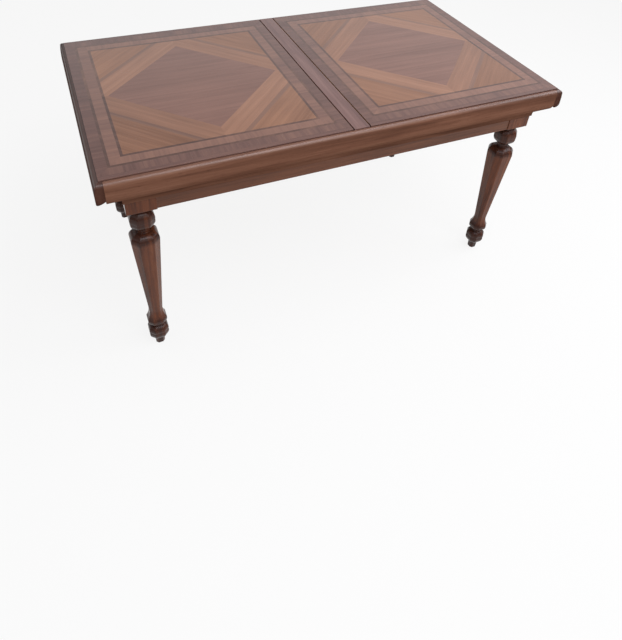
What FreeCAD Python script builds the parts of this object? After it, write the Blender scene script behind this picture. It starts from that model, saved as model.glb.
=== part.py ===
import FreeCAD, Part
import math
import os

V = FreeCAD.Vector
os.makedirs("parts", exist_ok=True)

# Overall sizes, in millimetres. X runs along the table, the front is -Y, the floor is Z = 0.
height = 760.0
length = 1506.0
width = 836.0
travel = 370.0

# Edge moulding of the top, from its face inwards and from the top down
leaf_proud = 3.0
end_cap = 25.0
end_strip = 15.5
end_bulge = 3.0
end_swell = 0.7
end_bottom_in = 5.0
nose_round = 12.0
nose_depth = 49.0
ovolo_drop = 24.0
ovolo_in = 12.0
ovolo_swell = 3.0
rail_strip = 12.5
rail_thickness = 27.0
cove_step = 10.0
cove_drop = 29.0
cove_in = 18.0
cove_swell = 4.0
cove_fillet = 8.0
overhang = 46.0

# Aprons and legs
apron_show = 42.0
apron_thickness = 22.0
tenon_length = 25.0
tenon_thickness = 10.0
tenon_shoulder = 10.0
post_side = 80.0
block_proud = 2.0
block_below_apron = 16.0
block_chamfer = 14.0
facet_ratio = 1.07
collar_height = 4.0
collar_radius = 20.0
ring_drop = 40.0
ring_radius = 35.0
ring_swell = 6.0
neck_drop = 78.0
neck_radius = 17.0
neck_flat = 7.0
shoulder_drop = 113.0
shoulder_radius = 41.0
shoulder_swell = 7.5
ankle_height = 166.0
ankle_radius = 20.5
flare_height = 118.0
flare_radius = 30.0
flare_flat = 5.0
flare_hollow = 3.0
flare_swell = 4.0
lower_neck_height = 90.0
bulb_height = 64.0
bulb_radius = 30.0
bulb_swell = 6.0
foot_height = 27.0
foot_radius = 15.5
foot_tip_radius = 14.0

# Sliding leaves
leaf_depth = 24.0
veneer = 1.0
core_thickness = 7.0
lipping_width = 15.0
underboard_thickness = 12.5
slope_in = 66.0
slope_rise = 4.5
bar_width = 50.0
bar_gap = 4.0

# Marquetry bands of each leaf, from the edge inwards
outer_band = 30.0
dark_line = 8.0
inner_band = 30.0
diamond_margin = 9.7
diamond_band = 70.0
diamond_line = 14.0

# Tambour mats
slat_pitch = 11.0
slat_gap = 0.6
slat_thickness = 3.0
slat_crown = 1.2
canvas_thickness = 1.5
mat_side_gap = 0.5
mat_under_bar = 24.0
mat_rail_width = 45.0

# Runners of the leaves
ledge_width = 35.0
end_rail_width = 62.0
end_rail_set = 22.0
loper_width = 36.0
loper_depth = 26.0
loper_relief = 8.0
loper_lead = 25.0
left_loper_set = 106.0
right_loper_set = 56.0
guide_rail_width = 40.0
guide_rail_depth = 60.0
cheek_width = 12.0
strap_width = 30.0
strap_thickness = 8.0
peg_radius = 6.0
peg_bite = 9.0
bearer_width = 54.0
end_block_width = 14.0

# Fastenings
corner_block_thickness = 30.0
corner_block_height = 60.0
corner_block_set = 12.0
bolt_radius = 4.0
bolt_grip = 35.0
bolt_tail = 22.0
nut_radius = 8.0
nut_height = 9.0
wing_span = 30.0
wing_thickness = 3.0
wing_lift = 3.0
screw_radius = 2.0
screw_head_radius = 4.0
screw_head_height = 3.0
screw_bite = 9.0
screws_per_loper = 3

# Clearances between pieces that slide or butt
run_gap = 0.3
side_gap = 2.0
guide_gap = 0.5
park_gap = 12.0

# Levels worked out from the sizes above
rail_top = height - leaf_proud
rail_bottom = rail_top - nose_depth - ovolo_drop
cove_bottom = rail_bottom - cove_drop - cove_fillet
apron_bottom = cove_bottom - apron_show
block_bottom = apron_bottom - block_below_apron
ledge_top = height - leaf_depth - run_gap
core_top = height - veneer
core_bottom = core_top - core_thickness
underboard_bottom = core_bottom - underboard_thickness
upper_mat_top = core_bottom - run_gap
mat_thickness = slat_thickness + canvas_thickness
lower_mat_top = upper_mat_top - mat_thickness - run_gap
mats_bottom = lower_mat_top - mat_thickness
loper_top = underboard_bottom
loper_bottom = loper_top - loper_depth
guide_top = loper_bottom - run_gap

# Plan places worked out from the sizes above
rail_x = length / 2 - end_cap
rail_y = width / 2
nosing_x = rail_x + run_gap
leaf_end = length / 2 - end_strip
leg_x = rail_x - overhang - post_side / 2
leg_y = rail_y - overhang - post_side / 2
leaf_y = rail_y - rail_strip - side_gap
core_y = leaf_y - lipping_width
leaf_x = bar_width / 2 + bar_gap
ledge_y = rail_y - rail_thickness - ledge_width
mat_y = core_y - mat_side_gap
left_loper_y = ledge_y - left_loper_set
right_loper_y = ledge_y - right_loper_set
mat_length = travel + mat_under_bar
mat_end = mat_length - leaf_x
underboard_x = mat_end + park_gap
strap_x = underboard_x - park_gap - strap_width
loper_x = length / 2 - slope_in
loper_reach = travel - strap_x + loper_lead
peg_x = travel - strap_x + peg_radius + run_gap


def box(x0, x1, y0, y1, z0, z1):
    corner = V(min(x0, x1), min(y0, y1), min(z0, z1))
    return Part.makeBox(abs(x1 - x0), abs(y1 - y0), abs(z1 - z0), corner)


def swollen(a, b, swell):
    """The middle of the arc from a to b, pushed to the left of the way by swell."""
    along = (b[0] - a[0], b[1] - a[1])
    run = math.hypot(*along)
    middle = ((a[0] + b[0]) / 2, (a[1] + b[1]) / 2)
    return (middle[0] - along[1] / run * swell, middle[1] + along[0] / run * swell)


def outline(start, steps, place):
    """A face whose edge runs from start through steps: (point,) is a line, (middle, point) an arc."""
    edges = []
    here = start
    for step in list(steps) + [(start,)]:
        there = step[-1]
        if math.dist(here, there) < 1e-6:
            continue
        if len(step) == 1:
            edges.append(Part.LineSegment(place(*here), place(*there)).toShape())
        else:
            edges.append(Part.Arc(place(*here), place(*step[0]), place(*there)).toShape())
        here = there
    return Part.Face(Part.Wire(edges))


def slab(points, z0, z1):
    face = Part.Face(Part.makePolygon([V(x, y, z0) for x, y in points + points[:1]]))
    return face.extrude(V(0, 0, z1 - z0))


def rod(radius, start, end):
    way = end.sub(start)
    return Part.makeCylinder(radius, way.Length, start, way)


def moulding_edge(bulge, swell, bottom_in):
    """The moulded edge as (inset, depth) steps, from the round of the nose to the end of the ovolo."""
    bend = nose_round * (1 - math.sqrt(0.5))
    nose = (bulge, nose_round)
    ovolo_start = (0.0, nose_depth)
    ovolo_end = (bottom_in, nose_depth + ovolo_drop)
    return [
        ((bulge + nose_round, 0.0),),
        ((bulge + bend, bend), nose),
        (swollen(nose, ovolo_start, swell), ovolo_start) if swell else (ovolo_start,),
        (swollen(ovolo_start, ovolo_end, ovolo_swell), ovolo_end),
    ]


def side_edge():
    return moulding_edge(0.0, 0.0, ovolo_in)


def end_edge():
    return moulding_edge(end_bulge, end_swell, end_bottom_in)


def walked_back(start, steps, middle):
    """The same steps on the other side of the middle inset, walked from their end to start."""
    back = []
    ends = [start] + [step[-1] for step in steps]
    for step, begin in zip(reversed(steps), reversed(ends[:-1])):
        points = list(step[:-1]) + [begin]
        back.append(tuple((2 * middle - inset, depth) for inset, depth in points))
    return back


def write(name, solids):
    shape = solids[0] if len(solids) == 1 else Part.makeCompound(solids)
    shape.exportStep("parts/" + name + ".step")


def mirrored_x(shape):
    return shape.mirror(V(0, 0, 0), V(1, 0, 0))


def mirrored_y(shape):
    return shape.mirror(V(0, 0, 0), V(0, 1, 0))


# Legs: a faceted form, cut where four profiles meet, under a square block and post

def leg_profile():
    collar = (collar_radius, block_bottom - collar_height)
    ring = (ring_radius, block_bottom - ring_drop)
    neck_top = (neck_radius, block_bottom - neck_drop + neck_flat)
    shoulder = (shoulder_radius, block_bottom - shoulder_drop)
    shoulder_end = (neck_radius, block_bottom - neck_drop - neck_flat)
    flare = (flare_radius, flare_height)
    flare_end = (flare_radius, flare_height + flare_flat)
    ankle = (ankle_radius, ankle_height)
    foot_top = (foot_radius, foot_height)
    bulb = (bulb_radius, bulb_height)
    bulb_end = (neck_radius, lower_neck_height)
    flare_start = (neck_radius, lower_neck_height + neck_flat)
    return [
        ((foot_tip_radius, 0.0),),
        (foot_top,),
        (swollen(foot_top, bulb, -bulb_swell), bulb),
        (swollen(bulb, bulb_end, -bulb_swell), bulb_end),
        (flare_start,),
        (swollen(flare_start, flare, -flare_swell), flare),
        (flare_end,),
        (swollen(flare_end, ankle, flare_hollow), ankle),
        (shoulder,),
        (swollen(shoulder, shoulder_end, -shoulder_swell), shoulder_end),
        (neck_top,),
        (swollen(neck_top, ring, -ring_swell), ring),
        (swollen(ring, collar, -ring_swell), collar),
        ((collar_radius, block_bottom),),
    ]


def block_profile():
    post_half = post_side / 2
    block_half = post_half + block_proud
    return [
        ((collar_radius, block_bottom),),
        ((block_half, block_bottom + block_chamfer),),
        ((block_half, cove_bottom),),
        ((post_half, cove_bottom),),
        ((post_half, rail_bottom),),
    ]


def both_sides(steps, start_height, end_height, scale, angle):
    """A profile of (half width, height) steps on both sides of the axis, run through the leg."""
    reach = 2 * post_side
    turn = math.radians(angle)
    across = V(math.cos(turn), math.sin(turn), 0)
    through = V(-math.sin(turn), math.cos(turn), 0)

    def half(side):
        def place(r, z):
            return across * (side * scale * r) + V(0, 0, z) - through * (reach / 2)
        closing = [((0.0, end_height),)]
        return outline((0.0, start_height), steps + closing, place).extrude(through * reach)

    return half(1).fuse(half(-1)).removeSplitter()


def leg_form():
    turned = both_sides(leg_profile(), 0.0, block_bottom, 1.0, 0)
    for scale, angle in ((1.0, 90), (facet_ratio, 45), (facet_ratio, 135)):
        turned = turned.common(both_sides(leg_profile(), 0.0, block_bottom, scale, angle))
    top = block_profile()
    block = both_sides(top, block_bottom, rail_bottom, 1.0, 0)
    block = block.common(both_sides(top, block_bottom, rail_bottom, 1.0, 90))
    return turned.fuse(block).removeSplitter()


# Aprons with their tenons

apron_face_x = rail_x - overhang
apron_face_y = rail_y - overhang
inner_post_x = leg_x - post_side / 2
inner_post_y = leg_y - post_side / 2
apron_back_x = apron_face_x - apron_thickness
apron_back_y = apron_face_y - apron_thickness


def tenon_levels():
    return apron_bottom + tenon_shoulder, rail_bottom - tenon_shoulder


def back_apron():
    middle = (apron_face_y + apron_back_y) / 2
    half = tenon_thickness / 2
    low, high = tenon_levels()
    board = box(-inner_post_x, inner_post_x, apron_back_y, apron_face_y, apron_bottom, rail_bottom)
    reach = inner_post_x + tenon_length
    return board.fuse(box(-reach, reach, middle - half, middle + half, low, high)).removeSplitter()


def right_apron():
    middle = (apron_face_x + apron_back_x) / 2
    half = tenon_thickness / 2
    low, high = tenon_levels()
    board = box(apron_back_x, apron_face_x, -inner_post_y, inner_post_y, apron_bottom, rail_bottom)
    reach = inner_post_y + tenon_length
    return board.fuse(box(middle - half, middle + half, -reach, reach, low, high)).removeSplitter()


# Corner blocks with their bolts, in the corner where X and Y are positive

block_line = inner_post_x + inner_post_y + corner_block_set
block_mid_z = (apron_bottom + rail_bottom) / 2


def corner_block_at(line_out, line_in):
    points = [
        (line_out - apron_back_y, apron_back_y),
        (apron_back_x, line_out - apron_back_x),
        (apron_back_x, line_in - apron_back_x),
        (line_in - apron_back_y, apron_back_y),
    ]
    low = block_mid_z - corner_block_height / 2
    return slab(points, low, low + corner_block_height)


def corner_seat():
    reach = 2 * post_side
    points = [
        (leg_x - reach, block_line - leg_x + reach),
        (block_line - leg_y + reach, leg_y - reach),
        (leg_x - reach, leg_y - reach),
    ]
    return slab(points, block_mid_z - corner_block_height / 2, rail_bottom)


inward = V(-math.sqrt(0.5), -math.sqrt(0.5), 0)
seat_point = V(block_line / 2 + (inner_post_x - inner_post_y) / 2,
               block_line / 2 - (inner_post_x - inner_post_y) / 2, block_mid_z)


def along_bolt(distance):
    return seat_point + inward * distance


def corner_bolt():
    return rod(bolt_radius, along_bolt(-bolt_grip), along_bolt(corner_block_thickness + bolt_tail))


def wing_nut():
    base = corner_block_thickness
    hub = rod(nut_radius, along_bolt(base), along_bolt(base + nut_height))
    wing = Part.makeBox(wing_span, wing_thickness, nut_height,
                        V(-wing_span / 2, -wing_thickness / 2, 0))
    turn = FreeCAD.Rotation(V(0, 0, 1), inward)
    wing.Placement = FreeCAD.Placement(along_bolt(base + wing_lift), turn)
    return hub.fuse(wing).cut(corner_bolt()).removeSplitter()


def corner_block():
    block = corner_block_at(block_line, block_line - corner_block_thickness * math.sqrt(2))
    return block.cut(corner_bolt())


def four_corners(shape):
    pair = [shape, mirrored_x(shape)]
    return pair + [mirrored_y(one) for one in pair]


# Moulded rails, ledges, coves and end rails of the frame

def back_rail():
    def place(inset, depth):
        return V(-rail_x, rail_y - inset, rail_top - depth)
    deep = nose_depth + ovolo_drop
    step = rail_top - ledge_top
    back = [((rail_thickness, deep),), ((rail_thickness, step),), ((rail_strip, step),)]
    return outline((rail_strip, 0.0), side_edge() + back, place).extrude(V(2 * rail_x, 0, 0))


def back_ledge():
    return box(-rail_x, rail_x, ledge_y, ledge_y + ledge_width, rail_bottom, ledge_top)


def cove_steps():
    top = nose_depth + ovolo_drop
    front = ovolo_in + cove_step
    arc_start = (front, top)
    arc_end = (front + cove_in, top + cove_drop)
    return arc_start, [
        (swollen(arc_start, arc_end, -cove_swell), arc_end),
        ((arc_end[0], top + cove_drop + cove_fillet),),
        ((overhang, top + cove_drop + cove_fillet),),
        ((overhang, top),),
    ]


def cove_ring_side(half_run, half_across, along_x):
    """One cove moulding of the ring round the frame, its ends cut to the mitre."""
    start, steps = cove_steps()

    def place(inset, depth):
        across = half_across - inset
        if along_x:
            return V(-half_run, across, rail_top - depth)
        return V(across, -half_run, rail_top - depth)

    way = V(2 * half_run, 0, 0) if along_x else V(0, 2 * half_run, 0)
    board = outline(start, steps, place).extrude(way)
    near = half_across - overhang
    tip = half_run - overhang
    keep = [(-half_run, half_across), (half_run, half_across), (tip, near), (-tip, near)]
    if not along_x:
        keep = [(b, a) for a, b in keep]
    return board.common(slab(keep, cove_bottom, rail_bottom))


def right_end_rail():
    outer = rail_x - end_rail_set
    return box(outer - end_rail_width, outer, -ledge_y, ledge_y, rail_bottom, guide_top)


# Guides that carry and hold the lopers

def right_guide_rail():
    middle = strap_x + strap_width / 2
    half = guide_rail_width / 2
    bottom = guide_top - guide_rail_depth
    return box(middle - half, middle + half, -apron_back_y, apron_back_y, bottom, guide_top)


strap_bottom = loper_top - loper_relief + run_gap
strap_top = strap_bottom + strap_thickness


def guide_set(side, centre_y):
    """The two cheeks, the strap and its two screws round the loper at centre_y, on one side."""
    inner = loper_width / 2 + guide_gap
    outer = inner + cheek_width
    x0, x1 = side * strap_x, side * (strap_x + strap_width)
    sides = ((centre_y - outer, centre_y - inner), (centre_y + inner, centre_y + outer))
    cheeks = [box(x0, x1, y0, y1, guide_top, strap_bottom) for y0, y1 in sides]
    strap = box(x0, x1, centre_y - outer, centre_y + outer, strap_bottom, strap_top)
    screws = []
    for y0, y1 in sides:
        head = V((x0 + x1) / 2, (y0 + y1) / 2, strap_top)
        screw = sunk_screw(head, -1, strap_thickness + screw_bite)
        strap = strap.cut(screw)
        cheeks = [cheek.cut(screw) for cheek in cheeks]
        screws.append(screw)
    return cheeks, strap, screws


def sunk_screw(head, sense, reach):
    """A countersunk screw from its head's flat face, going up or down by sense."""
    tip = head + V(0, 0, sense * reach)
    cone = Part.makeCone(screw_head_radius, screw_radius, screw_head_height, head, V(0, 0, sense))
    return cone.fuse(rod(screw_radius, head + V(0, 0, sense * screw_head_height), tip)).removeSplitter()


# Centre bar between the leaves, on its bearer

def centre_bar():
    half = bar_width / 2
    return box(-half, half, -leaf_y, leaf_y, core_bottom, height)


def centre_bearer():
    half = bearer_width / 2
    return box(-half, half, -leaf_y, leaf_y, ledge_top, mats_bottom - run_gap)


def bar_end_block():
    half = bearer_width / 2
    return box(-half, half, leaf_y - end_block_width, leaf_y, mats_bottom - run_gap, core_bottom)


# One leaf, made on the right and mirrored for the left

def leaf_core():
    return box(leaf_x, leaf_end - lipping_width, -core_y, core_y, core_bottom, core_top)


def lippings():
    side = box(leaf_x, leaf_end, core_y, leaf_y, height - leaf_depth, height)
    end = box(leaf_end - lipping_width, leaf_end, -core_y, core_y, core_bottom, core_top)
    return [side, mirrored_y(side), end]


def nosing():
    """The moulded end of the leaf, with its corners returned along the sides and a sloped tail."""
    deep = nose_depth + ovolo_drop
    tail_top = rail_top - underboard_bottom
    tail_low = tail_top + slope_rise
    inset = length / 2 - nosing_x
    slope = (deep - tail_low) / (slope_in - end_bottom_in)
    low = deep - slope * (inset - end_bottom_in)
    tail_y = ledge_y - side_gap

    def end_place(i, d):
        return V(length / 2 - i, -rail_y, rail_top - d)

    def side_place(i, d):
        return V(nosing_x, rail_y - i, rail_top - d)

    def tail_place(i, d):
        return V(length / 2 - i, -tail_y, rail_top - d)

    head = outline((inset, 0.0), end_edge() + [((inset, low),)], end_place).extrude(V(0, width, 0))
    across = [((rail_y, deep),)]
    side_steps = side_edge() + across
    side_steps = side_steps + walked_back((rail_y, 0.0), side_steps, rail_y)
    head = head.common(outline((rail_y, 0.0), side_steps, side_place).extrude(V(end_cap, 0, 0)))
    head = head.cut(box(nosing_x, leaf_end, -leaf_y, leaf_y, height - leaf_depth, height))
    head = head.fuse(box(nosing_x, leaf_end, -core_y, core_y, height - leaf_depth, underboard_bottom))
    tail_steps = [((slope_in, tail_top),), ((slope_in, tail_low),), ((inset, low),)]
    tail = outline((inset, tail_top), tail_steps, tail_place).extrude(V(0, 2 * tail_y, 0))
    return head.fuse(tail).removeSplitter()


def screw_places():
    first = underboard_x + loper_width
    step = (loper_x - loper_width - first) / (screws_per_loper - 1)
    return [first + step * i for i in range(screws_per_loper)]


def loper_screws(centre_y):
    reach = loper_depth + screw_bite
    heads = [V(x, y, loper_bottom) for y in (-centre_y, centre_y) for x in screw_places()]
    return [sunk_screw(head, 1, reach) for head in heads]


def stop_pegs(centre_y):
    foot = loper_top - loper_relief - peg_bite
    top = ledge_top - 2 * run_gap
    return [rod(peg_radius, V(-peg_x, y, foot), V(-peg_x, y, top)) for y in (-centre_y, centre_y)]


def lopers(centre_y):
    bars = []
    half = loper_width / 2
    relief_top = loper_top - loper_relief
    for y in (-centre_y, centre_y):
        bar = box(underboard_x, loper_x, y - half, y + half, loper_bottom, loper_top)
        bar = bar.fuse(box(-loper_reach, underboard_x, y - half, y + half, loper_bottom, relief_top))
        bar = bar.removeSplitter()
        for fixing in loper_screws(centre_y) + stop_pegs(centre_y):
            bar = bar.cut(fixing)
        bars.append(bar)
    return bars


def underboard(centre_y):
    board = box(underboard_x, leaf_end, -core_y, core_y, underboard_bottom, core_bottom)
    for screw in loper_screws(centre_y):
        board = board.cut(screw)
    return board


# Marquetry veneers of one leaf, centred on the leaf

leaf_mid_x = (leaf_x + leaf_end) / 2
leaf_half_x = (leaf_end - leaf_x) / 2
border = outer_band + dark_line + inner_band + dark_line


def veneer_slab(points):
    return slab([(leaf_mid_x + x, y) for x, y in points], core_top, height)


def frame_strips(inset, band):
    """Four mitred strips of one band round the leaf."""
    a, b = leaf_half_x - inset, core_y - inset
    c, d = a - band, b - band
    outer = [(-a, -b), (a, -b), (a, b), (-a, b)]
    inner = [(-c, -d), (c, -d), (c, d), (-c, d)]
    return [veneer_slab([outer[i], outer[(i + 1) % 4], inner[(i + 1) % 4], inner[i]]) for i in range(4)]


field_x = leaf_half_x - border
field_y = core_y - border
diamond_half = min(field_x, field_y) - diamond_margin
band_edge = diamond_half + diamond_band * math.sqrt(2)
line_edge = band_edge + diamond_line * math.sqrt(2)


def diamond_strips(near, far):
    """The four strips between two diamonds, trimmed to the field inside the borders."""
    field = box(leaf_mid_x - field_x, leaf_mid_x + field_x, -field_y, field_y, core_top, height)
    strips = []
    for sx, sy in ((1, 1), (-1, 1), (-1, -1), (1, -1)):
        points = [(sx * near, 0), (sx * far, 0), (0, sy * far), (0, sy * near)]
        strips.append(veneer_slab(points).common(field).Solids[0])
    return strips


def corner_triangles():
    leg = field_x + field_y - line_edge
    triangles = []
    for sx, sy in ((1, 1), (-1, 1), (-1, -1), (1, -1)):
        corner = (sx * field_x, sy * field_y)
        points = [corner, (corner[0] - sx * leg, corner[1]), (corner[0], corner[1] - sy * leg)]
        triangles.append(veneer_slab(points))
    return triangles


def diamond_centre():
    d = diamond_half
    return veneer_slab([(d, 0), (0, d), (-d, 0), (0, -d)])


def crossbanding():
    return frame_strips(0, outer_band) + frame_strips(outer_band + dark_line, inner_band)


def stringing():
    lines = frame_strips(outer_band, dark_line) + frame_strips(border - dark_line, dark_line)
    return lines + diamond_strips(band_edge, line_edge)


# Tambour mat of one leaf: crowned slats on a canvas, under a fixing rail

def mat_slats(top):
    count = int(mat_length // slat_pitch)
    half = (slat_pitch - slat_gap) / 2
    slats = []
    for i in range(count):
        middle = leaf_x - slat_pitch * (i + 0.5)

        def place(x, z):
            return V(middle + x, -mat_y, z)
        low, eave = top - slat_thickness, top - slat_crown
        steps = [((half, low),), ((half, eave),), ((0.0, top), (-half, eave))]
        slats.append(outline((-half, low), steps, place).extrude(V(0, 2 * mat_y, 0)))
    return slats


def mat_canvas(top):
    low = top - mat_thickness
    return box(-mat_end, leaf_x + mat_rail_width, -mat_y, mat_y, low, low + canvas_thickness)


def mat_rail(top, seat):
    return box(leaf_x, leaf_x + mat_rail_width, -core_y, core_y, top - slat_thickness, seat)


# Writing every piece

leg = leg_form().translated(V(leg_x, leg_y, 0))
for piece in (back_apron(), right_apron(), corner_seat(), corner_bolt()):
    leg = leg.cut(piece)
write("leg_back_right", [leg])
write("leg_back_left", [mirrored_x(leg)])
write("leg_front_right", [mirrored_y(leg)])
write("leg_front_left", [mirrored_x(mirrored_y(leg))])

for name, make in (("apron", back_apron), ("rail", back_rail), ("ledge", back_ledge)):
    write("back_" + name, [make()])
    write("front_" + name, [mirrored_y(make())])
for name, make in (("apron", right_apron), ("end_rail", right_end_rail), ("guide_rail", right_guide_rail)):
    write("right_" + name, [make()])
    write("left_" + name, [mirrored_x(make())])

long_cove = cove_ring_side(rail_x, rail_y, True)
short_cove = cove_ring_side(rail_y, rail_x, False)
write("back_cove", [long_cove])
write("front_cove", [mirrored_y(long_cove)])
write("right_cove", [short_cove])
write("left_cove", [mirrored_x(short_cove)])

write("corner_blocks", four_corners(corner_block()))
write("hanger_bolts", four_corners(corner_bolt()))
write("wing_nuts", four_corners(wing_nut()))

guide_places = ((-1, -left_loper_y), (-1, left_loper_y), (1, -right_loper_y), (1, right_loper_y))
guides = [guide_set(side, y) for side, y in guide_places]
write("guide_cheeks", [cheek for cheeks, strap, screws in guides for cheek in cheeks])
write("keeper_straps", [strap for cheeks, strap, screws in guides])
write("keeper_screws", [screw for cheeks, strap, screws in guides for screw in screws])

write("centre_bar", [centre_bar()])
write("centre_bearer", [centre_bearer()])
write("bar_end_blocks", [bar_end_block(), mirrored_y(bar_end_block())])

leaves = (
    ("right", right_loper_y, lower_mat_top, lower_mat_top),
    ("left", left_loper_y, upper_mat_top, core_bottom),
)
for side, loper_y, mat_top, rail_seat in leaves:
    pieces = {
        "leaf_core": [leaf_core()],
        "leaf_lippings": lippings(),
        "leaf_underboard": [underboard(loper_y)],
        "leaf_nosing": [nosing()],
        "crossbanding": crossbanding(),
        "stringing": stringing(),
        "diamond_band": diamond_strips(diamond_half, band_edge),
        "diamond_centre": [diamond_centre()],
        "corner_veneers": corner_triangles(),
        "lopers": lopers(loper_y),
        "loper_screws": loper_screws(loper_y),
        "stop_pegs": stop_pegs(loper_y),
        "tambour_rail": [mat_rail(mat_top, rail_seat)],
        "tambour_canvas": [mat_canvas(mat_top)],
        "tambour_slats": mat_slats(mat_top),
    }
    for name, solids in pieces.items():
        if side == "left":
            solids = [mirrored_x(solid) for solid in solids]
        write(side + "_" + name, solids)
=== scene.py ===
import bpy
import math
from mathutils import Matrix, Vector


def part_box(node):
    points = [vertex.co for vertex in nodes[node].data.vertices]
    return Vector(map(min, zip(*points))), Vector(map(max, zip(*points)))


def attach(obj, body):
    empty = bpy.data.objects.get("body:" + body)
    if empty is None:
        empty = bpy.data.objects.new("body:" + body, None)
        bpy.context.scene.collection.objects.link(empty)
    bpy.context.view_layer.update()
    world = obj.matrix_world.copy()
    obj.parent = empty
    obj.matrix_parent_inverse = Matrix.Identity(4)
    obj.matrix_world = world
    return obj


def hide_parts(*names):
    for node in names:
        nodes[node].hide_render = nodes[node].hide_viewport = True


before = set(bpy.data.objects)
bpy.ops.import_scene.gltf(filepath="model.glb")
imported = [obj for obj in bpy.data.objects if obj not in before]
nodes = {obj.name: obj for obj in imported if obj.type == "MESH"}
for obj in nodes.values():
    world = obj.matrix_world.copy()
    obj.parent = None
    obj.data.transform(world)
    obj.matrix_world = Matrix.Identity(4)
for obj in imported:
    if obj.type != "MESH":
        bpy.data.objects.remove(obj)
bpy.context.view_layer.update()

scene = bpy.context.scene
scene.view_settings.view_transform = "Standard"
slat_pitch = 0.011


class Value:
    """A socket of a finish: arithmetic on it adds Math nodes, and node() adds any other node."""

    def __init__(self, tree, socket=None):
        self.tree = tree
        self.socket = socket

    def node(self, kind, settings=None, inputs=None, output=0):
        made = self.tree.nodes.new("ShaderNode" + kind)
        for name, setting in (settings or {}).items():
            if name == "stops":
                stops = made.color_ramp.elements
                while len(stops) < len(setting):
                    stops.new(1.0)
                for stop, (place, colour) in zip(stops, setting):
                    stop.position = place
                    stop.color = (*colour, 1.0)
            else:
                setattr(made, name, setting)
        for name, given in (inputs or {}).items():
            if isinstance(given, Value):
                self.tree.links.new(given.socket, made.inputs[name])
            else:
                made.inputs[name].default_value = given
        return Value(self.tree, made.outputs[output])

    def maths(self, operation, *terms):
        return self.node("Math", {"operation": operation}, dict(enumerate(terms)))

    def __add__(self, other):
        return self.maths("ADD", self, other)

    def __sub__(self, other):
        return self.maths("SUBTRACT", self, other)

    def __rsub__(self, other):
        return self.maths("SUBTRACT", other, self)

    def __mul__(self, other):
        return self.maths("MULTIPLY", self, other)

    __radd__ = __add__
    __rmul__ = __mul__

    def size(self):
        return self.maths("ABSOLUTE", self)

    def above(self, level):
        return self.maths("GREATER_THAN", self, level)

    def between(self, low, high):
        """0 below low, 1 above high, and smooth between them."""
        return self.node("MapRange", {"interpolation_type": "SMOOTHSTEP"},
                         {"Value": self, "From Min": low, "From Max": high})

    def noise(self, place, detail=3.0, rough=0.55, twist=0.0):
        return self.node("TexNoise", {"noise_dimensions": "3D"},
                         {"Vector": place, "Scale": 1.0, "Detail": detail, "Roughness": rough,
                          "Distortion": twist})

    def place(self, x, y, z):
        return self.node("CombineXYZ", None, {"X": x, "Y": y, "Z": z})

    def mix(self, share, first, second, blend="MIX"):
        """A colour from first to second by share."""
        return self.node("Mix", {"data_type": "RGBA", "blend_type": blend},
                         {0: share, 6: first, 7: second}, 2)


def tone(red, green, blue):
    """A colour written as it looks, from 0 to 255, as the shader's linear numbers."""
    def linear(c):
        c = c / 255
        return c / 12.92 if c <= 0.04045 else ((c + 0.055) / 1.055) ** 2.4
    return (linear(red), linear(green), linear(blue))


def new_finish(name):
    """An empty finish: its Value root, its shader node and the point in the table's own metres."""
    material = bpy.data.materials.new(name)
    material.use_nodes = True
    tree = material.node_tree
    shader = tree.nodes["Principled BSDF"]
    root = Value(tree)
    axes = root.node("SeparateXYZ", None, {0: root.node("TexCoord", None, None, "Object")})
    x, y, z = (Value(tree, axes.socket.node.outputs[i]) for i in range(3))
    return material, root, shader, (x, y, z)


def feed(root, shader, name, value):
    if isinstance(value, Value):
        root.tree.links.new(value.socket, shader.inputs[name])
    else:
        shader.inputs[name].default_value = value


# How each wooden piece lies: its length, its width and its depth in the timber

def along_x(root, x, y, z):
    return x, y, z, 0.0


def along_y(root, x, y, z):
    return y, x, z, 0.0


def along_z(root, x, y, z):
    return z, x, y, 0.0


def leg_grain(root, x, y, z):
    """Upright grain; the turnings between block and shaft and at the foot are painted darker, standing in for
    the dark reflections on their gloss.
    """
    shoulder, block_foot, ankle = (0.468, 0.486), (0.582, 0.594), (0.118, 0.150)
    # Painted dark reflection: the turnings' colour is darkened for the dark surroundings that their gloss
    # reflects.
    painted_dark_reflection = -0.34
    turnings = z.between(*shoulder) - z.between(*block_foot) + 1 - z.between(*ankle)
    return z, x, y, turnings * painted_dark_reflection


def half_spread(node):
    """The middle of a node along the table, and half its length and width."""
    low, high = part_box(node)
    return (low[0] + high[0]) / 2, (high[0] - low[0]) / 2, (high[1] - low[1]) / 2


leaf_middle, leaf_half, leaf_side = half_spread("right_crossbanding")
field_half, field_side = half_spread("right_corner_veneers")[1:]
inner_band = 0.034


def leaf_place(x):
    """How far out from its own leaf's middle a point lies, and which leaf it is on."""
    return x.size() - leaf_middle, x.above(0.0)


def banding(root, x, y, z):
    """Grain across each border strip, turned where the strips are mitred; the inner strips are paler."""
    out, right = leaf_place(x)
    from_end = leaf_half - out.size()
    from_side = leaf_side - y.size()
    side = (from_end - from_side).above(0.0)
    inner = root.maths("MINIMUM", from_end, from_side).above(inner_band)
    run = side * y + (1 - side) * out
    across = side * out + (1 - side) * y
    return run, across, right * 3.7 + side * 1.3 + inner * 2.3, side * 0.06 + inner * 0.25 - 0.03


def diagonal(root, x, y, z):
    """Grain along the diamond's sides, turned from quarter to quarter."""
    out, right = leaf_place(x)
    quarter = (out * y).above(0.0) * 2 - 1
    run = (out - quarter * y) * math.sqrt(0.5)
    across = (out + quarter * y) * math.sqrt(0.5)
    back = y.above(0.0)
    return run, across, right * 5.1 + quarter * 1.7 + back * 2.9, quarter * 0.05 + back * 0.05 - 0.03


def inlaid(root, x, y, z):
    """The lines: dark round the border, and paler where they cut off the corners of the field."""
    out, right = leaf_place(x)
    inside = (field_half - out.size()).above(0.0) * (field_side - y.size()).above(0.0)
    run, across, deep, shade = diagonal(root, x, y, z)
    return run, across, deep, shade + inside * 0.34


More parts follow.
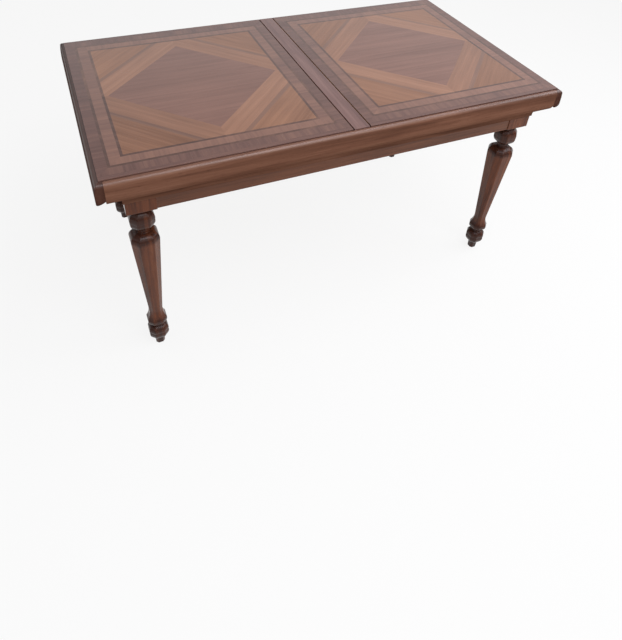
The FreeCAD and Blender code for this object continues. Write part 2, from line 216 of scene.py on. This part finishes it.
def field_grain(root, x, y, z):
    """The diamond's one veneer, its grain along the table."""
    out, right = leaf_place(x)
    return out, y, right * 4.3, 0.0


def slat_rows(root, x, y, z):
    """Every slat from another strip of wood."""
    row = root.maths("FLOOR", x * (1 / slat_pitch))
    odd = root.node("TexWhiteNoise", {"noise_dimensions": "1D"}, {"W": row})
    return y, x, row * 0.37, odd * 0.26 - 0.13


def timber(name, lay, dark, middle, pale, gloss=0.30, shine=0.30, figure=1.0, soft_edge=0.0, wear=0.0,
           pores=0.35, polish=0.0, hollow_shade=0.5):
    """A wooden finish: broad figure, growth lines, fine streaks and pores, under varnish."""
    material, root, shader, point = new_finish(name)
    run, across, deep, shade = lay(root, *point)

    def strands(length, width, detail, rough, twist=0.0):
        """Noise drawn out along the grain, in waves to the metre along it and across it."""
        return root.noise(root.place(run * length, across * width, deep * width), detail, rough, twist)

    broad = strands(1.6, 20.0, 3.0, 0.5, 0.4)
    streak = strands(6.0, 150.0, 4.0, 0.6)
    lines = root.maths("SINE", across * 230.0 + broad * 16.0)
    pore = strands(55.0, 1100.0, 2.0, 0.5).between(0.60, 0.72)
    cloud = strands(3.0, 3.0, 2.0, 0.5)
    level = (broad - 0.5) * (0.9 * figure) + (streak - 0.5) * (0.8 * figure) + lines * (0.07 * figure) + 0.5
    level = level + shade + (cloud - 0.5) * 0.35
    colour = root.node("ValToRGB", {"stops": [(0.12, dark), (0.5, middle), (0.88, pale)]}, {"Fac": level})
    colour = root.mix(pore * pores, colour, (*[c * 0.35 for c in dark], 1.0))
    bump = {"Strength": 0.12, "Distance": 0.0006, "Height": streak * 0.5 - pore * 0.8}
    if soft_edge:
        rounded = root.node("Bevel", {"samples": 6}, {"Radius": soft_edge})
        flat = root.node("NewGeometry", None, None, "True Normal")
        bend = root.node("VectorMath", {"operation": "DOT_PRODUCT"}, {0: rounded, 1: flat}, "Value")
        rubs = strands(30.0, 40.0, 3.0, 0.55).between(0.38, 0.66)
        colour = root.mix((1 - bend).between(0.02, 0.22) * rubs * wear, colour,
                          (*[min(1.0, c * 1.5) for c in pale], 1.0))
        # Painted shade: the colour darkens where the piece's own shape closes round a point, as ambient
        # occlusion finds it.
        open_air = root.node("AmbientOcclusion", {"samples": 6, "only_local": True}, {"Distance": 0.015},
                             "AO")
        colour = root.mix((1 - open_air) * hollow_shade, colour, (*[c * 0.4 for c in dark], 1.0))
        bump["Normal"] = rounded
    feed(root, shader, "Base Color", colour)
    feed(root, shader, "Roughness", (streak - 0.5) * 0.10 + (cloud - 0.5) * 0.10 + pore * 0.12 + gloss)
    feed(root, shader, "Normal", root.node("Bump", None, bump))
    feed(root, shader, "Specular IOR Level", shine)
    if polish:
        upward = root.node("SeparateXYZ", None, {0: root.node("NewGeometry", None, None, "Normal")}, "Z")
        feed(root, shader, "Coat Weight", upward.between(-0.05, 0.75) * polish)
        feed(root, shader, "Coat Roughness", 0.36)
    return material


def plated_steel(name):
    material, root, shader, (x, y, z) = new_finish(name)
    brushed = root.noise(root.place(x * 900.0, y * 900.0, z * 60.0), 3.0, 0.6)
    spots = root.noise(root.place(x * 120.0, y * 120.0, z * 120.0), 4.0, 0.6).between(0.52, 0.72)
    colour = root.mix(spots * 0.6, (*tone(176, 172, 160), 1.0), (*tone(112, 98, 80), 1.0))
    feed(root, shader, "Base Color", colour)
    feed(root, shader, "Metallic", 1.0)
    feed(root, shader, "Roughness", brushed * 0.2 + spots * 0.25 + 0.22)
    scratches = {"Strength": 0.2, "Distance": 0.0003, "Height": brushed}
    feed(root, shader, "Normal", root.node("Bump", None, scratches))
    return material


def woven_canvas(name):
    material, root, shader, (x, y, z) = new_finish(name)
    thread = 2 * math.pi / 0.0016
    warp = x.maths("SINE", x * thread)
    weft = y.maths("SINE", y * thread)
    over = (warp * weft).above(0.0)
    height = over * warp.size() + (1 - over) * weft.size()
    slub = root.noise(root.place(x * 400.0, y * 40.0, z * 40.0), 3.0)
    stain = root.noise(root.place(x * 9.0, y * 9.0, z * 9.0), 4.0).between(0.45, 0.75)
    colour = root.mix(height, (*tone(96, 80, 58), 1.0), (*tone(150, 130, 100), 1.0))
    colour = root.mix(slub * 0.35, colour, (*tone(120, 102, 76), 1.0))
    colour = root.mix(stain * 0.4, colour, (*tone(88, 66, 46), 1.0))
    feed(root, shader, "Base Color", colour)
    feed(root, shader, "Roughness", slub * 0.1 + 0.85)
    weave = {"Strength": 0.5, "Distance": 0.0006, "Height": height}
    feed(root, shader, "Normal", root.node("Bump", None, weave))
    return material


# Colours of the woods, as they look, dark to pale
leg_red = tone(54, 29, 21), tone(94, 51, 31), tone(120, 71, 45)
apron_brown = tone(63, 34, 20), tone(98, 57, 36), tone(124, 77, 51)
mould_brown = tone(67, 43, 34), tone(104, 70, 55), tone(130, 92, 74)
# Painted shade: the nosing is the moulding's wood, given a darker copy of its colour for the shade that falls
# on it.
nosing_shaded_brown = tone(45, 28, 22), tone(70, 45, 37), tone(90, 61, 51)
bar_brown = tone(84, 59, 56), tone(109, 80, 75), tone(130, 99, 92)
band_brown = tone(67, 46, 41), tone(99, 71, 64), tone(128, 93, 79)
line_dark = tone(64, 44, 38), tone(88, 63, 55), tone(120, 87, 72)
strip_light = tone(104, 71, 56), tone(134, 95, 75), tone(156, 114, 91)
centre_rose = tone(92, 62, 53), tone(117, 83, 72), tone(137, 99, 86)
corner_orange = tone(96, 63, 46), tone(127, 88, 67), tone(151, 108, 82)
slat_rose = tone(80, 51, 43), tone(108, 73, 63), tone(130, 93, 81)
inner_pale = tone(128, 94, 62), tone(164, 126, 86), tone(190, 154, 110)

turned = dict(soft_edge=0.004, wear=0.12, shine=0.22, gloss=0.24)
moulded = dict(soft_edge=0.001, wear=0.08, gloss=0.34, shine=0.0, figure=0.7, polish=1.0, hollow_shade=0.2)
polished = dict(gloss=0.20, shine=0.5, figure=0.55)
bare = dict(gloss=0.62, pores=0.5)
finishes = {
    "leg": timber("leg varnish", leg_grain, *leg_red, **turned),
    "apron_x": timber("long apron varnish", along_x, *apron_brown, soft_edge=0.0015, wear=0.2),
    "apron_y": timber("end apron varnish", along_y, *apron_brown, soft_edge=0.0015, wear=0.2),
    "mould_x": timber("long moulding varnish", along_x, *mould_brown, **moulded),
    "mould_y": timber("end moulding varnish", along_y, *mould_brown, **moulded),
    "nosing": timber("leaf nosing varnish", along_y, *nosing_shaded_brown, **moulded),
    "bar": timber("centre bar varnish", along_y, *bar_brown, soft_edge=0.0015, wear=0.1, gloss=0.22,
                  shine=0.5),
    "lipping": timber("leaf lipping varnish", along_x, *band_brown, soft_edge=0.0008, wear=0.1, **polished),
    "crossbanding": timber("border veneer", banding, *band_brown, **polished),
    "stringing": timber("line veneer", inlaid, *line_dark, **polished),
    "diamond_band": timber("diamond strip veneer", diagonal, *strip_light, **polished),
    "diamond_centre": timber("diamond veneer", field_grain, *centre_rose, **polished),
    "corner_veneers": timber("corner veneer", diagonal, *corner_orange, **polished),
    "slats": timber("slat varnish", slat_rows, *slat_rose, gloss=0.3, figure=0.7),
    "bare_x": timber("bare wood along", along_x, *inner_pale, **bare),
    "bare_y": timber("bare wood across", along_y, *inner_pale, **bare),
    "bare_z": timber("bare wood upright", along_z, *inner_pale, **bare),
    "steel": plated_steel("plated steel"),
    "canvas": woven_canvas("tambour canvas"),
}


def finish_of(node):
    if node.startswith("leg_"):
        return "leg"
    for ending in ("crossbanding", "stringing", "diamond_band", "diamond_centre", "corner_veneers"):
        if node.endswith(ending):
            return ending
    plain = {
        "front_apron": "apron_x", "back_apron": "apron_x", "left_apron": "apron_y", "right_apron": "apron_y",
        "front_rail": "mould_x", "back_rail": "mould_x", "front_cove": "mould_x", "back_cove": "mould_x",
        "left_cove": "mould_y", "right_cove": "mould_y", "centre_bar": "bar", "bar_end_blocks": "bare_z",
        "front_ledge": "bare_x", "back_ledge": "bare_x", "corner_blocks": "bare_z", "centre_bearer": "bare_y",
        "guide_cheeks": "bare_x", "keeper_straps": "bare_y",
    }
    if node in plain:
        return plain[node]
    endings = {
        "leaf_nosing": "nosing", "leaf_lippings": "lipping",
        "tambour_slats": "slats", "tambour_canvas": "canvas",
        "screws": "steel", "bolts": "steel", "nuts": "steel", "lopers": "bare_x", "leaf_underboard": "bare_x",
        "leaf_core": "bare_x", "stop_pegs": "bare_z", "end_rail": "bare_y", "guide_rail": "bare_y",
        "tambour_rail": "bare_y",
    }
    return next(finish for ending, finish in endings.items() if node.endswith(ending))


for node, piece in nodes.items():
    finish = finishes[finish_of(node)]
    if not piece.data.materials:
        piece.data.materials.append(finish)
    for holder in piece.material_slots:
        holder.material = finish


# The canvas behind the slats, with a slight wave between them

def canvas_sheet(side):
    node = side + "_tambour_canvas"
    low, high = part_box(node)
    wave = 0.0003
    middle = (low[2] + high[2]) / 2
    columns = round((high[0] - low[0]) / slat_pitch) * 4
    rows = 24
    points = []
    for i in range(columns + 1):
        x = low[0] + (high[0] - low[0]) * i / columns
        for j in range(rows + 1):
            y = low[1] + (high[1] - low[1]) * j / rows
            sway = 1 + 0.5 * math.sin(y * 21.0 + x * 9.0)
            points.append((x, y, middle + wave * sway * math.cos(2 * math.pi * x / slat_pitch)))
    step = rows + 1
    faces = [(i * step + j, (i + 1) * step + j, (i + 1) * step + j + 1, i * step + j + 1)
             for i in range(columns) for j in range(rows)]
    mesh = bpy.data.meshes.new(side + "_canvas_sheet")
    mesh.from_pydata(points, [], faces)
    mesh.shade_smooth()
    piece = bpy.data.objects.new(side + "_canvas_sheet", mesh)
    scene.collection.objects.link(piece)
    mesh.materials.append(finishes["canvas"])
    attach(piece, side + "_leaf")
    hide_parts(node)


canvas_sheet("left")
canvas_sheet("right")


# Floor, light and camera

def background_rays(root):
    """1 for the rays that meet a white background, and 1 for those of reflections alone."""
    ray = root.node("LightPath").socket.node.outputs
    names = ("Is Camera Ray", "Is Glossy Ray", "Is Transmission Ray")
    seen, mirrored, through = (Value(root.tree, ray[name]) for name in names)
    return seen + mirrored + through, mirrored


def pale_floor():
    reach = 14.0
    white_share = 0.85
    mesh = bpy.data.meshes.new("floor")
    mesh.from_pydata([(-reach, -reach, 0), (reach, -reach, 0), (reach, reach, 0), (-reach, reach, 0)], [],
                     [(0, 1, 2, 3)])
    floor = bpy.data.objects.new("floor", mesh)
    scene.collection.objects.link(floor)
    material = bpy.data.materials.new("pale floor")
    material.use_nodes = True
    tree = material.node_tree
    tree.nodes.clear()
    root = Value(tree)
    seen = background_rays(root)[0]
    soft = root.node("BsdfDiffuse", None, {"Color": (0.66, 0.65, 0.63, 1.0)})
    white = root.node("Emission", None, {"Color": (1.0, 1.0, 1.0, 1.0), "Strength": 1.0})
    both = root.node("MixShader", None, {0: seen * white_share, 1: soft, 2: white})
    end = tree.nodes.new("ShaderNodeOutputMaterial")
    tree.links.new(both.socket, end.inputs["Surface"])
    mesh.materials.append(material)


def sky():
    """Even light from all round; reflections find it dimmer overhead and near the horizon."""
    light_level, overhead_dim, horizon_dim = 0.65, 0.75, 0.8
    world = bpy.data.worlds.new("soft sky")
    scene.world = world
    world.use_nodes = True
    tree = world.node_tree
    root = Value(tree)
    shine = tree.nodes["Background"]
    seen, mirrored = background_rays(root)
    aim = root.node("SeparateXYZ", None, {0: root.node("TexCoord", None, None, "Generated")}, "Z")
    overhead = aim.between(0.42, 0.70) * mirrored
    horizon = (1 - aim.between(0.20, 0.34)) * mirrored
    level = seen * (1 - light_level) + light_level - overhead * overhead_dim - horizon * horizon_dim
    shine.inputs["Color"].default_value = (0.97, 0.98, 1.0, 1.0)
    tree.links.new(level.socket, shine.inputs["Strength"])


def lamp(name, place, aim, size, power, colour=(1.0, 1.0, 1.0)):
    light = bpy.data.lights.new(name, "AREA")
    light.shape = "RECTANGLE"
    light.size, light.size_y = size
    light.energy = power
    light.color = colour
    holder = bpy.data.objects.new(name, light)
    holder.location = place
    holder.rotation_euler = (Vector(aim) - Vector(place)).to_track_quat("-Z", "Y").to_euler()
    scene.collection.objects.link(holder)


def camera():
    """The photograph's viewpoint: place in metres, turn, fall and lean in degrees, and lens in pixels."""
    place = Vector((-0.7657, -1.6369, 1.6933))
    turn, fall, lean = (math.radians(a) for a in (-26.284, 37.3, 4.11))
    lens, across, down = 592.02, 622.0, 640.0
    centre_row = 170.0
    ahead = Vector((-math.sin(turn) * math.cos(fall), math.cos(turn) * math.cos(fall), -math.sin(fall)))
    right = ahead.cross(Vector((0, 0, 1))).normalized()
    up = right.cross(ahead)
    lean_right = right * math.cos(lean) + up * math.sin(lean)
    lean_up = up * math.cos(lean) - right * math.sin(lean)
    eye = bpy.data.cameras.new("viewpoint")
    eye.sensor_fit = "HORIZONTAL"
    eye.sensor_width = 36.0
    eye.lens = lens / across * eye.sensor_width
    eye.shift_y = (centre_row - down / 2) / across
    holder = bpy.data.objects.new("viewpoint", eye)
    holder.matrix_world = Matrix((
        (lean_right.x, lean_up.x, -ahead.x, place.x),
        (lean_right.y, lean_up.y, -ahead.y, place.y),
        (lean_right.z, lean_up.z, -ahead.z, place.z),
        (0, 0, 0, 1),
    ))
    scene.collection.objects.link(holder)
    scene.camera = holder


pale_floor()
sky()
lamp("key", (0.9, -3.2, 3.0), (0, 0, 0.5), (2.2, 2.2), 48.0)
lamp("edge strip", (0.6, -1.1, 2.75), (0.0, -0.4, 0.75), (3.6, 0.6), 42.0, (0.90, 0.92, 1.0))
lamp("right panel", (2.5, -0.85, 2.1), (0.5, -0.4, 0.75), (1.6, 1.2), 30.0, (0.90, 0.93, 1.0))
camera()
